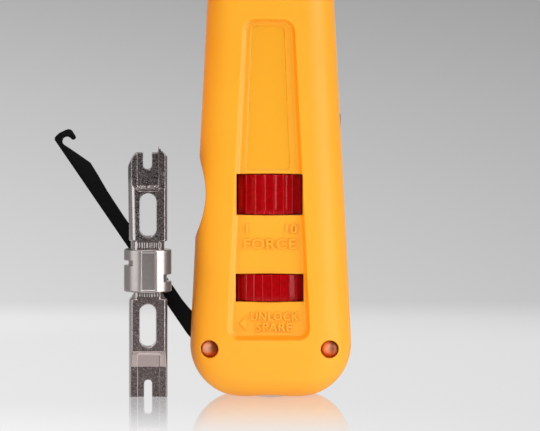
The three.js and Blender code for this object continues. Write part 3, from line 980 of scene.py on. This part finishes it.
def fine_rib(t):
    """Drop of a flat facet with a thin raised rib at its edge."""
    half = math.pi / RELEASE_TEETH
    flat = RELEASE_RADIUS * (1 - math.cos(half) / math.cos((t - 0.5) * 2 * half))
    return 0.26 * min(1.0, max(0.0, (from_tooth_edge(t) - 0.035) / 0.05)) + flat


def ridged_wheel(name, node, body, radius, z_span, teeth, tooth, start_angle, chamfer):
    """Wheel whose rim drops below radius by tooth(t) over each tooth."""
    segments = teeth * TOOTH_STEPS
    drop = np.array([tooth((i % TOOTH_STEPS) / TOOTH_STEPS) for i in range(segments)])
    angle = 2 * np.pi * np.arange(segments) / segments + math.radians(start_angle)
    z0, z1 = z_span
    bore, c = WHEEL_BORE, chamfer
    face = [bore, bore + 0.15, radius - c - 0.6, radius - c - drop * 0.6]
    rows = [(r, z0) for r in face]
    for k in range(1, 4):
        a = math.radians(30 * k)
        rows.append((radius - drop - c * (1 - math.sin(a)), z0 + c * (1 - math.cos(a))))
    for k in range(1, 6):
        rows.append((radius - drop, z0 + c + (z1 - z0 - 2 * c) * k / 6))
    for k in range(3):
        a = math.radians(90 - 30 * k)
        rows.append((radius - drop - c * (1 - math.sin(a)), z1 - c * (1 - math.cos(a))))
    rows += [(r, z1) for r in reversed(face)]
    points = np.concatenate([
        np.stack([r * np.cos(angle), r * np.sin(angle), np.full(segments, z)], 1)
        for r, z in rows
    ])
    i = np.arange(segments)
    k = (i + 1) % segments
    quads = []
    for j in range(len(rows)):
        row, after = j * segments, (j + 1) % len(rows) * segments
        quads.append(np.stack([row + i, row + k, after + k, after + i], 1))
    o = quad_piece(name, points, np.concatenate(quads), RED, body, "wheel_plastic", sharp=40)
    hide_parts(node)


ridged_wheel("power_wheel_rim", "impact_wheel", "power_wheel", radius=10.0, z_span=(37.1, 45.2),
             teeth=POWER_TEETH, tooth=hollow_ground, start_angle=263.8, chamfer=0.15)
ridged_wheel("release_wheel_rim", "release_wheel", "blade_release", radius=RELEASE_RADIUS,
             z_span=(19.45, 24.86), teeth=RELEASE_TEETH, tooth=fine_rib, start_angle=272.2,
             chamfer=0.12)

# ------------------------------------------------------------------ rivets
RIVET_SEAT = 7.25  # distance of each head's foot from the parting face
RIVET_HEAD = 1.68  # radius
RIVET_SHANK = 1.15  # radius
RIVET_RIM = 0.1  # straight rim under the dome
RIVET_DOME = 1.32


def rivet(name, node, x):
    """Domed head at each end of a shank along y."""
    dome = [(0, RIVET_RIM + RIVET_DOME)]
    for degrees in range(8, 91, 6):
        a = math.radians(degrees)
        dome.append((RIVET_HEAD * math.sin(a), RIVET_RIM + RIVET_DOME * math.cos(a)))
    dome.append((RIVET_HEAD, 0))
    profile = [(r, -RIVET_SEAT - rise) for r, rise in dome]
    profile += [(RIVET_SHANK, y) for y in (-RIVET_SEAT, -3, 3, RIVET_SEAT)]
    profile += [(r, RIVET_SEAT + rise) for r, rise in reversed(dome)]
    verts, faces = lathe(profile, 48)
    verts = [(a + x, along, b + RIVET_Z) for a, b, along in verts]
    o = face_piece(name, verts, faces, COPPER, "handle", "copper_rivet", sharp=50)
    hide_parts(node)


rivet("hook_rivet_head", "hook_rivet", -RIVET_X)
rivet("spudger_rivet_head", "spudger_rivet", RIVET_X)

# ------------------------------------------------------------------ folding levers
LEVER_Y = (-0.6, 0.6)
LEVER_BEVEL = 0.08
EYE_RADIUS = 2.2  # rounded end about the rivet

HOOK_DRAWN = [  # x, z from the hooked tip down the arm to the rivet
    (-43.89, 52.30), (-43.86, 52.75), (-43.60, 53.14), (-42.89, 53.75),
    (-41.90, 54.36), (-41.39, 54.48), (-40.86, 54.38), (-40.53, 54.03),
    (-39.92, 53.05), (-39.84, 52.75), (-39.98, 52.48), (-40.28, 52.32),
    (-40.61, 52.38), (-40.94, 52.69), (-41.27, 52.91), (-41.66, 52.97),
    (-42.11, 52.85), (-42.44, 52.56), (-42.62, 52.03), (-42.56, 51.64),
    (-42.31, 51.31), (-41.0, 50.47), (-36.82, 47.79), (-36.6, 47.6),
    (-36.42, 47.36), (-34.97, 44.98), (-33.15, 41.82), (-29.83, 36.74),
    (-19.5, 22.04), (-17.85, 19.6), (-16.5, 17.95), (-10.1, 10.3),
]
HOOK_LEFT = 0.3  # the arm and the outer side of the tip are moved left
HOOK_DOWN = 0.57  # all but the rivet end is lowered
SPUDGER_DRAWN = [  # x, z up the outer edge, round the tip and down the inner edge
    (14.32, 12.0), (13.9, 40), (13.74, 51.9), (13.8, 52.8),
    (14.18, 53.6), (14.22, 54.2), (14.22, 56.7), (14.1, 57.3),
    (13.85, 57.75), (13.2, 57.95), (12.5, 57.55), (12.05, 56.7),
    (11.2, 53.5), (10.62, 47.5), (10.62, 18.6), (10.3, 13.0),
]


def rivet_arc(x, radius, start, end, steps):
    """Points about a rivet, angles in degrees."""
    angles = [math.radians(start + (end - start) * i / steps) for i in range(steps + 1)]
    return [(x + radius * math.cos(a), RIVET_Z + radius * math.sin(a)) for a in angles]


def placed_hook_point(x, z):
    moved = 15 < z < 50 or x < -42.8
    return (x - (HOOK_LEFT if moved else 0), z - (HOOK_DOWN if z > 15 else 0))


def lever(name, node, body, outline, rivet_x):
    hole = rivet_arc(rivet_x, RIVET_HOLE, start=0, end=345, steps=23)
    o = plate(name, outline, LEVER_Y, LEVER_BEVEL, BLACK, body, holes=[hole])
    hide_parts(node)


hook_outline = [placed_hook_point(x, z) for x, z in HOOK_DRAWN]
hook_outline += rivet_arc(-RIVET_X, EYE_RADIUS, start=0, end=-140, steps=14)
hook_outline += [(-17.2, 12.2)]
lever("hook_blade", "hook_lever", "hook", hook_outline, -RIVET_X)
spudger_outline = SPUDGER_DRAWN + rivet_arc(RIVET_X, EYE_RADIUS, start=175, end=365, steps=20)
lever("spudger_blade", "spudger_lever", "spudger", spudger_outline, RIVET_X)

# ------------------------------------------------------------------ blades
# Here x, y and z are measured from the blade's own axis and foot.
BAR_HALF_Y = 2.5
BAR_LEFT_Z = [0, 20, 31, 44]  # heights of the left edge stations
BAR_LEFT = [3.86, 3.86, 3.76, 4.0]  # distance of the left edge from the axis
BAR_TOP = 49.6
WINDOW_RADIUS = 1.66
BAR_WINDOWS = (  # centre x, from z, to z
    (0.05, 32.5, 41.4),
    (0.0, 10.0, 18.8),
)
BAR_NECKS = ((29.8, 31.6), (20.4, 21.5))  # z spans
NECK_CORE = 3.4
HUB_RADIUS = 4.85
HUB_CHANNEL_X = 0.02
HUB_CHANNEL_HALF = 1.36
HUB_NOTCH_FLOOR = 3.92  # radius
HUB_NOTCHES = (  # side, centre z, half height
    (-1, 27.2, 0.5),
    (1, 24.15, 0.7),
)
TICK_ROWS = ((30.15, 31.45), (20.25, 21.15))  # z spans


def obround(x, z, centre_x, low, high, radius):
    """Upright slot with round ends."""
    nearest_z = np.clip(z, low + radius, high - radius)
    return np.hypot(x - centre_x, z - nearest_z) - radius


def open_slot(x, short_of_slot, radius):
    """Slot with one round end, open the other way."""
    return np.hypot(x, np.maximum(short_of_slot, 0)) - radius


def bar_stock(x, y, z):
    """Flat-sided bar: broad rounded left edge, tighter right edge."""
    r = np.hypot(x, y)
    left_round = np.where(z > 25, 1.8, 0.8)
    left = np.interp(z, BAR_LEFT_Z, BAR_LEFT)
    edge = np.where(x < 0, np.maximum(-x - left + left_round, 0) / left_round,
                    np.maximum(x - 3.25, 0) / 0.75)
    ellipse = np.hypot(edge, np.abs(y) / BAR_HALF_Y) - 1
    d = ellipse * np.where(edge > 0, np.where(x < 0, left_round - 0.1, 1.1), BAR_HALF_Y)
    # sloped shoulders under the hub
    shoulder = (np.abs(x) + (z - 19.5) * 0.75 - 4.0) * 0.8 - np.maximum(z - 25, 0) * 9
    d = smooth_max(d, shoulder, 0.1)
    return smooth_max(d, r - 4.35, 0.1)


def thin_bar_ends(d, x, y, z):
    """Steps the flats down at both ends and thins the web between the lobes."""
    ay = np.abs(y)
    step_z = 42.4 + 0.6 * np.maximum(np.abs(x) - 2.13, 0) ** 2 * (x < 0)
    d = carve(d, np.maximum(step_z - z, np.where(x < 0, 2.05, 2.42) - ay), 0.12)
    upper_web = np.maximum(np.abs(x) - 2.14, smooth_max(41.9 - z, 1.2 - ay, 1.4))
    d = carve(d, upper_web, 0.12)
    lower_half = 1.95 + (BAR_HALF_Y - 1.95) * np.clip((z - 6.0) / 3.1, 0, 1)
    d = carve(d, np.maximum(lower_half - ay, z - 9.1), 0.12)
    web_half = 1.2 + 1.3 * np.clip((z - 6.1) / 2.8, 0, 1)
    lower_web = np.maximum(np.maximum(np.abs(x - 0.12) - 2.2, z - 9.0), web_half - ay)
    return carve(d, lower_web, 0.12)


def blade_bar(x, y, z):
    d = thin_bar_ends(bar_stock(x, y, z), x, y, z)
    # top: rounded lobe on the left, slanted cutter on the right
    lobe = BAR_TOP - np.maximum(-x - 2.15, 0) ** 1.6 * 1.05
    cutter = np.where(x < 2.2, BAR_TOP, 50.75 - (x - 2.2) * 1.12)
    d = smooth_max(d, (z - np.where(x < 0, lobe, cutter)) * 0.75, 0.1)
    d = smooth_max(d, -0.18 - z, 0.12)
    # slots open at both ends, and two windows, all skewed slightly through the thickness
    skewed = x - 0.01 * y
    d = carve(d, open_slot(skewed + 0.03, 47.1 - z, 0.9), 0.12)
    d = carve(d, open_slot(skewed - 0.04, z - 2.5, 0.8), 0.12)
    for centre_x, low, high in BAR_WINDOWS:
        d = carve(d, obround(skewed, z, centre_x, low, high, WINDOW_RADIUS), 0.16)
    r = np.hypot(x, y)
    for low, high in BAR_NECKS:
        d = carve(d, np.maximum(NECK_CORE - r, span(z, low - 0.5, high) * 0.7), 0.2)
    return d


def blade_hub(x, y, z):
    """Round hub with a channel front and back and a notch in each side."""
    r = np.hypot(x, y)
    ay = np.abs(y)
    d = smooth_max(r - HUB_RADIUS, span(z, 21.3, 29.95), 0.35)
    across = np.abs(x - HUB_CHANNEL_X) - HUB_CHANNEL_HALF
    channel = np.maximum(np.maximum(across, 3.72 - ay), span(z, 21.8, 29.35))
    d = carve(d, channel, 0.34)
    lip = np.maximum(np.maximum(across, 4.35 - ay), span(z, 21.0, 30.2))
    d = carve(d, lip, 0.14)
    sector = (np.degrees(np.arctan2(ay, np.abs(x))) - 48) * 0.075
    for side, centre_z, half in HUB_NOTCHES:
        on_side = np.where(x * side > 0, sector, 9.0)
        notch = np.maximum(on_side, np.abs(z - centre_z) - half)
        d = carve(d, np.maximum(notch, HUB_NOTCH_FLOOR - r), 0.16)
    return d


def neck_ticks():
    """Rows of plain raised ticks across the necks, front and back."""
    rng = np.random.default_rng(7)
    corners = ((0, 1, 2, 3), (7, 6, 5, 4), (0, 4, 5, 1), (1, 5, 6, 2), (2, 6, 7, 3), (3, 7, 4, 0))
    inset = 0.05
    verts, faces = [], []
    for row_low, row_high in TICK_ROWS:
        x = -2.35
        while x < 2.5:
            width = 0.22 + 0.16 * rng.random()
            low = row_low + 0.12 * rng.random()
            high = row_high - 0.12 * rng.random()
            for side in (-1, 1):
                first = len(verts)
                for y, t in ((side * 2.4, 0), (side * 2.66, inset)):
                    verts += [
                        (x + t, y, low + t), (x + width - t, y, low + t),
                        (x + width - t, y, high - t), (x + t, y, high - t),
                    ]
                faces += [tuple(first + i for i in face) for face in corners]
            x += width + 0.15 + 0.1 * rng.random()
    return verts, faces


def blade(prefix, node, body, at, turn, steel):
    placing = dict(at=at, turn=turn)
    h = 0.15
    xs = np.arange(-4.4, 4.4 + h, h)
    ys = np.arange(-2.9, 2.9 + h, h)
    points, quads = surface_nets(blade_bar, xs, ys, np.arange(-0.4, 51.4, h))
    bar = quad_piece(prefix + "_bar", points, quads, steel, body, "blade_steel",
                     normals=field_normals(blade_bar, points, 0.03), **placing)
    h = 0.1
    xs = np.arange(-5.2, 5.2 + h, h)
    points, quads = surface_nets(blade_hub, xs, xs, np.arange(20.9, 30.5, h))
    quad_piece(prefix + "_hub", points, quads, HUB, body, "blade_steel",
               normals=field_normals(blade_hub, points, 0.06), **placing)
    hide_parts(node)
    verts, faces = neck_ticks()
    face_piece(prefix + "_neck_ticks", verts, faces, TICK, body, "blade_steel",
               smooth=False, **placing)


blade("spare_blade", "spare_blade", "loose_blade",
      at=(SPARE_X, SPARE_Y, 0), turn=SPARE_TURN, steel=SPARE_STEEL)
blade("nose_blade", "working_blade", "nose_blade",
      at=(0, 0, NOSE_BLADE_Z), turn=0.0, steel=NOSE_STEEL)

# ------------------------------------------------------------------ nose
COLLAR = [  # radius, z
    (7.3, 133.3), (9.0, 133.3), (9.0, 135.1), (8.4, 135.1), (8.4, 140.15),
    (9.3, 140.15), (9.55, 140.5), (9.55, 142.2), (9.3, 142.5), (9.3, 143.0),
    (9.55, 143.3), (9.55, 144.4), (9.3, 144.7), (9.3, 145.2), (9.55, 145.5),
    (9.55, 148.8), (8.1, 153), (7.0, 153), (7.3, 150.5),
]
CLAMP_RING = [  # radius, z
    (9.3, 136.1), (10.2, 136.1), (10.2, 139.5), (9.9, 139.8), (9.3, 139.8),
]


def turned_ring(name, node, profile, material, slot):
    verts, faces = lathe(soften(profile), 128)
    o = face_piece(name, verts, faces, material, "handle", slot, sharp=40)
    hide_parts(node)


turned_ring("nose_collar_turned", "nose_collar", COLLAR, NICKEL, "satin_nickel")
turned_ring("clamp_ring_turned", "clamp_ring", CLAMP_RING, ZINC, "zinc_plate")

# ------------------------------------------------------------------ springs
# Heights and lengths in this section are metres.
MAIN_SPLIT = 0.0635  # the main spring is cut in two here


def on_axis(z):
    return (AXIS_X * MM, AXIS_Y * MM, z)


def coil_part(node, name, cut=None, keep_low=False):
    """Copy of a spring, or of the part above or below the height cut."""
    source = frame["nodes"][node]
    mesh = source.data.copy()
    mesh.materials.clear()
    mesh.materials.append(SPRING)
    if cut is not None:
        bm = bmesh.new()
        bm.from_mesh(mesh)
        result = bmesh.ops.bisect_plane(
            bm, geom=bm.verts[:] + bm.edges[:] + bm.faces[:], plane_co=on_axis(cut),
            plane_no=(0, 0, 1), clear_outer=keep_low, clear_inner=not keep_low)
        rim = [e for e in result["geom_cut"] if isinstance(e, bmesh.types.BMEdge)]
        bmesh.ops.holes_fill(bm, edges=rim, sides=0)
        bm.to_mesh(mesh)
        bm.free()
    o = bpy.data.objects.new(name, mesh)
    bpy.context.collection.objects.link(o)
    o.matrix_world = source.matrix_world
    return o


def pressed_spring(node, cut=None):
    """Copy of a spring, or of its part above the cut, on the handle."""
    o = coil_part(node, node + "_coils", cut)
    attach(o, "handle")
    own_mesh(o)
    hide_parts(node)


pressed_spring("return_spring")
pressed_spring("main_spring", cut=MAIN_SPLIT)
# the foot of the main spring below the cut, as a separate piece
main_foot = coil_part("main_spring", "main_spring_foot", MAIN_SPLIT, keep_low=True)
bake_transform(main_foot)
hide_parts("main_spring")

# ------------------------------------------------------------------ looks of the CAD pieces
SLOT_MATERIALS = {
    "handle_plastic": YELLOW,
    "wheel_plastic": RED,
    "black_oxide": BLACK,
    "blade_steel": SPARE_STEEL,
    "satin_nickel": NICKEL,
    "copper_rivet": COPPER,
    "spring_steel": SPRING,
    "zinc_plate": ZINC,
    "dark_nylon": NYLON,
}
node_slots = {part["node"]: part["material_slot"] for part in frame["record"]["subparts"]}
for node_name, o in frame["nodes"].items():
    material = SLOT_MATERIALS[node_slots[node_name]]
    if o.material_slots:
        for material_slot in o.material_slots:
            material_slot.link = "OBJECT"
            material_slot.material = material
    else:
        o.data.materials.append(material)

# ------------------------------------------------------------------ camera
CAMERA_RISE = math.radians(3.5)
CAMERA_SWING = math.radians(1.6)  # towards +X
CAMERA_DISTANCE = 1.6  # metres
FOCUS_NEARER = 0.003  # metres in front of the aim where the view width is set
VIEW_WIDTH = 110.16 * MM
SENSOR = 36.0

scene = bpy.context.scene
scene.view_settings.view_transform = "Standard"
scene.view_settings.look = "None"
scene.view_settings.exposure = 0
scene.view_settings.gamma = 1


def add_camera():
    """Aimed at the lower half of the tool from a little above."""
    data = bpy.data.cameras.new("camera")
    data.sensor_width = SENSOR
    data.lens = SENSOR * (CAMERA_DISTANCE - FOCUS_NEARER) / VIEW_WIDTH
    data.clip_start = 0.01
    data.clip_end = 20
    camera = bpy.data.objects.new("camera", data)
    aim = Vector(((AXIS_X - 0.17) * MM, AXIS_Y * MM, 36.3 * MM))
    direction = Vector((
        math.sin(CAMERA_SWING) * math.cos(CAMERA_RISE),
        -math.cos(CAMERA_SWING) * math.cos(CAMERA_RISE),
        math.sin(CAMERA_RISE),
    ))
    camera.location = aim + direction * CAMERA_DISTANCE
    camera.rotation_euler = (math.pi / 2 - CAMERA_RISE, 0, CAMERA_SWING)
    scene.collection.objects.link(camera)
    scene.camera = camera


add_camera()

# ------------------------------------------------------------------ lights
LIGHT_TARGET = Vector(on_axis(0.04))
LIGHTS = (  # name, place (metres), width and height (metres), power (watts)
    ("key_right", (0.53, -0.24, 0.22), (0.42, 0.55), 2.7),
    ("left_edge", (-0.52, -0.26, 0.10), (0.34, 0.45), 1.8),
    ("left_sheen", (-0.52, -0.24, 0.20), (0.46, 0.55), 0.85),
    ("front_fill", (-0.05, -0.75, 0.55), (0.4, 0.4), 2.08),
    ("top", (0.0, -0.05, 0.60), (0.5, 0.5), 0.9),
)


def area_light(name, place, size, power):
    data = bpy.data.lights.new(name, "AREA")
    data.energy = power
    data.shape = "RECTANGLE"
    data.size, data.size_y = size
    o = bpy.data.objects.new(name, data)
    o.location = Vector(place)
    o.rotation_euler = (LIGHT_TARGET - o.location).to_track_quat("-Z", "Y").to_euler()
    scene.collection.objects.link(o)
    return o


lights = {entry[0]: area_light(*entry) for entry in LIGHTS}
lights["left_edge"].visible_glossy = False
# the sheen is only a reflection, and only in the blades and the collar
sheen = lights["left_sheen"]
sheen.visible_diffuse = False
bright_metal = bpy.data.collections.new("bright_metal")
for o in bpy.data.objects:
    if o.name.startswith(("spare_blade_", "nose_blade_", "nose_collar_")):
        bright_metal.objects.link(o)
sheen.light_linking.receiver_collection = bright_metal

# ------------------------------------------------------------------ backdrop and table
BACKDROP = (  # height in the view from 0 to 1, grey level
    (0.0, 231), (0.10, 230), (0.20, 226), (0.262, 216),
    (0.30, 200), (0.535, 191), (0.77, 180), (1.0, 165),
)


def make_world():
    """The camera sees a grey sweep, the tool a dim studio brighter towards +Y."""
    world = bpy.data.worlds.new("studio")
    scene.world = world
    world.use_nodes = True
    n = Nodes(world.node_tree)
    n.tree.nodes.clear()
    output = n.add("ShaderNodeOutputWorld")
    coordinates = n.add("ShaderNodeTexCoord").outputs
    view_x, view_y, _ = n.split(coordinates["Window"])
    seen = n.shader(
        "ShaderNodeBackground",
        Color=n.grey_ramp(view_y, BACKDROP),
        Strength=n.remap(view_x, over=(0.0, 1.0), to=(1.18, 0.965)),
    )
    _, toward_back, _ = n.split(coordinates["Generated"])
    back = n.remap(toward_back, over=(-0.25, 0.45), ease="SMOOTHSTEP")
    light = n.mix(back, (0.08, 0.078, 0.078), (0.25, 0.25, 0.255))
    far_back = n.remap(toward_back, over=(0.86, 0.97))
    light = n.mix(far_back, light, (0.74, 0.74, 0.745))
    lit = n.shader("ShaderNodeBackground", Color=light, Strength=1.0)
    is_camera = n.add("ShaderNodeLightPath").outputs["Is Camera Ray"]
    n.put(output.inputs[0], n.mix_shader(is_camera, lit, seen))


def table_material():
    """Backdrop grey with a mirror gloss towards +Y, fading out at the rim."""
    material = bpy.data.materials.new("table_top")
    material.use_nodes = True
    n = Nodes(material.node_tree)
    n.tree.nodes.clear()
    output = n.add("ShaderNodeOutputMaterial")
    coordinates = n.add("ShaderNodeTexCoord").outputs
    from_centre = n.add("ShaderNodeVectorMath", operation="LENGTH")
    n.put(from_centre.inputs[0], coordinates["Object"])
    view_x, view_y, _ = n.split(coordinates["Window"])
    sweep = n.grey_ramp(view_y, BACKDROP)
    # strong glow for diffuse rays, weak for the rest, the sweep itself for the camera
    path = n.add("ShaderNodeLightPath").outputs
    bounce = n.mix(path["Is Diffuse Ray"], (0.6, 0.6, 0.6), (1.45, 1.45, 1.45))
    glow = n.shader(
        "ShaderNodeEmission",
        Color=n.mix(path["Is Camera Ray"], bounce, sweep),
        Strength=n.remap(view_x, over=(0.0, 1.0), to=(1.13, 0.95)),
    )
    gloss = n.shader("ShaderNodeBsdfGlossy", Roughness=0.03, Color=(1, 1, 1))
    _, y, _ = n.split(coordinates["Object"])
    glossy = n.remap(y, over=(-0.112, -0.006), to=(0.0, 0.6), ease="SMOOTHSTEP")
    top = n.mix_shader(glossy, glow, gloss)
    clear = n.shader("ShaderNodeBsdfTransparent")
    rim = n.remap(from_centre.outputs["Value"], over=(0.13, 0.235), ease="SMOOTHSTEP")
    n.put(output.inputs[0], n.mix_shader(rim, top, clear))
    return material


make_world()
bpy.ops.mesh.primitive_circle_add(vertices=128, radius=0.26, fill_type="NGON",
                                  location=(0, 0, -0.2 * MM))
table = bpy.context.active_object
table.name = "table_top"
table.data.materials.append(table_material())
